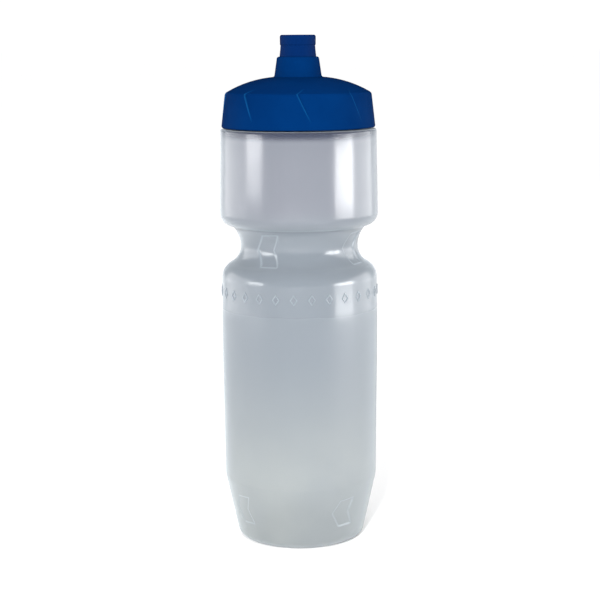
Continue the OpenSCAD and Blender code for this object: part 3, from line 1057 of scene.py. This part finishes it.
@dataclass
class Seals:
    """The ring gasket, and the CAD's own small seals with better finishes."""

    inner_r: float = 27.9
    outer_r: float = 31.8
    low_z: float = 207.5
    thick: float = 1.5

    def gasket(self) -> Object:
        """The flat ring with two low ribs on each face."""
        low, high = self.low_z, self.low_z + self.thick
        x = [self.inner_r + (self.outer_r - self.inner_r) * k for k in (0.28, 0.34, 0.4, 0.6, 0.66, 0.72)]
        dip = 0.15
        under = [(x[i], low + (0.0 if i in (1, 4) else dip), 0.05) for i in range(6)]
        over = [(x[i], high - (0.0 if i in (1, 4) else dip), 0.05) for i in range(5, -1, -1)]
        return turned("ring_gasket", rounded(
            [(self.inner_r, low + dip, 0.1), *under, (self.outer_r, low + dip, 0.2),
             (self.outer_r, high - dip, 0.2), *over, (self.inner_r, high - dip, 0.1)], 2), 160)

    def build(self, nodes: dict[str, Object], rubber: Material,
              silicone: Material, hard: Material) -> None:
        """Makes the gasket and dresses the CAD's sealing ring, valve and retainer."""
        settle(self.gasket(), Body.SEAL_CARRIER, Slot.SEAL, rubber, "cap_gasket")
        for node, material in (("tower_seal", rubber), ("slit_valve", silicone),
                               ("valve_retainer", hard)):
            mesh = nodes[node].data
            mesh.materials.clear()
            mesh.materials.append(material)
            LOG.info("%s keeps its CAD shape", node)


# ---- floor, lights, camera


@dataclass
class Studio:
    """A pale floor, white surroundings, four soft boxes, two matt-only lights and the camera.

    Lengths are in millimetres and angles in degrees; shift is a share of the view's width.
    """

    lens_mm: float = 93.558
    sensor_mm: float = 36.0
    shift: float = 1 / 1500
    pitch: float = 9.312
    distance: float = 737.1
    aim_z: float = 113.17
    roll: float = -0.403

    def floor(self) -> None:
        """A wide disc at height 0 with a matt white finish."""
        metres, sides = 60, 180
        a = np.arange(sides) * TAU / sides
        mesh = bpy.data.meshes.new("floor")
        mesh.from_pydata((metres * np.stack([np.cos(a), np.sin(a), 0 * a], axis=1)).tolist(), [],
                         [list(range(sides))])
        obj = linked("floor", mesh)
        t = Tree.material("pale_floor")
        mottle = t.noise(3, 2).ramp(0.3, 0.7) * 0.4
        mesh.materials.append(t.finish(t.node("ShaderNodeBsdfDiffuse", None, {
            "Color": t.blend(mottle, (0.94, 0.94, 0.94), (0.96, 0.96, 0.96))})))

    def world(self, seen: float, mirrored: float, lit: float) -> None:
        """White surroundings.

        Args:
            seen: Brightness behind the bottle.
            mirrored: Brightness in reflections.
            lit: Brightness as a source of light.
        """
        t = Tree(bpy.data.worlds.new("surroundings"))
        camera = t.node("ShaderNodeLightPath", output="Is Camera Ray")
        glossy = t.node("ShaderNodeLightPath", output="Is Glossy Ray")
        strength = camera * (seen - lit) + glossy * (mirrored - lit) + lit
        bpy.context.scene.world = t.finish(
            t.node("ShaderNodeBackground", None, {"Color": (1, 1, 1, 1), "Strength": strength}),
            "ShaderNodeOutputWorld")

    def box_light(self, name: str, azimuth: float, height: float, away: float,
                  size: tuple[float, float], power: float, aim_z: float, mirrored: bool) -> None:
        """A rectangular soft box that faces the bottle.

        Args:
            name: Name of the light.
            azimuth: Direction it stands in, in degrees.
            height: Height of its middle in millimetres.
            away: Distance from the axis in millimetres.
            size: Width and height in millimetres.
            power: Power in watts.
            aim_z: Height it points at.
            mirrored: Whether only reflections show it; if not, only matt surfaces get its light.
        """
        lamp = bpy.data.lights.new(name, "AREA")
        lamp.shape, lamp.size, lamp.size_y = "RECTANGLE", size[0] * MM, size[1] * MM
        lamp.energy = power
        obj = linked(name, lamp)
        a = radians(azimuth)
        place = np.array([away * sin(a), -away * cos(a), height]) * MM
        obj.matrix_world = looking(place, np.array([0, 0, aim_z * MM]))
        obj.visible_camera = False
        obj.visible_glossy = mirrored
        obj.visible_diffuse = not mirrored

    def lights(self) -> None:
        """White surroundings, four boxes that only reflections show, and two matt-only lights."""
        self.world(1.0, 0.05, 1.0)
        for lamp in (
                ("right_box", 68, 155, 700, (380, 170), 4.2, 155, True),
                ("left_box", -66, 205, 700, (320, 160), 2.2, 190, True),
                ("right_rim", 102, 200, 900, (950, 600), 6.8, 120, True),
                ("left_rim", -106, 200, 900, (950, 600), 5.0, 120, True),
                ("front_wash", -8, 520, 1100, (120, 120), 16.0, 110, False),
                ("right_fill", 62, 250, 900, (300, 300), 1.8, 110, False)):
            self.box_light(*lamp)

    def camera(self) -> None:
        """Camera at the front, slightly above the middle, looking down by the pitch."""
        lens = bpy.data.cameras.new("camera")
        lens.sensor_width = self.sensor_mm
        lens.lens = self.lens_mm
        lens.shift_x = self.shift
        obj = linked("camera", lens)
        p = radians(self.pitch)
        target = np.array([0, 0, self.aim_z]) * MM
        place = target + np.array([0, -cos(p), sin(p)]) * self.distance * MM
        view = looking(place, target)
        obj.matrix_world = view @ Matrix.Rotation(radians(self.roll), 4, "Z")
        bpy.context.scene.camera = obj


def looking(place: Grid, target: Grid) -> Matrix:
    """Matrix of an object at place whose -Z axis points at target and whose Y axis is upwards."""
    return Matrix.LocRotScale(Vector(place), Vector(target - place).to_track_quat("-Z", "Y"), None)


def corners(box: tuple) -> list[list[float]]:
    """A box's two corners as plain lists."""
    return [list(map(float, c)) for c in box]


def main() -> None:
    """Builds the bottle, the cap, the nozzle, the seals and the studio."""
    logging.basicConfig(level=logging.INFO, format="%(name)s: %(message)s")
    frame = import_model()
    shell = FrostedShell().build()
    cap = MouldedPlastic("cap_satin", (0.0003, 0.0165, 0.078), (0.0002, 0.0140, 0.069)).build()
    spout = MouldedPlastic("spout_rubber", (0.0010, 0.0125, 0.066), (0.0008, 0.011, 0.060),
                           edge=(0.001, 0.02, 0.09), grain=3200.0, depth=0.00002,
                           rough=(0.5, 0.62), specular=0.01).build()
    BlownBottle().build(shell)
    ScrewCap().build(cap)
    PushPullNozzle().build(cap, spout)
    Seals().build(frame["nodes"], SoftSeal("seal_milky").build(),
                  SoftSeal("valve_clear", (0.70, 0.71, 0.72), (0.6, 0.61, 0.63)).build(), cap)
    studio = Studio()
    studio.floor()
    studio.lights()
    studio.camera()
    bpy.context.scene.view_settings.view_transform = "Standard"
    bpy.context.scene.view_settings.exposure = 0.09


if __name__ == "__main__":
    main()
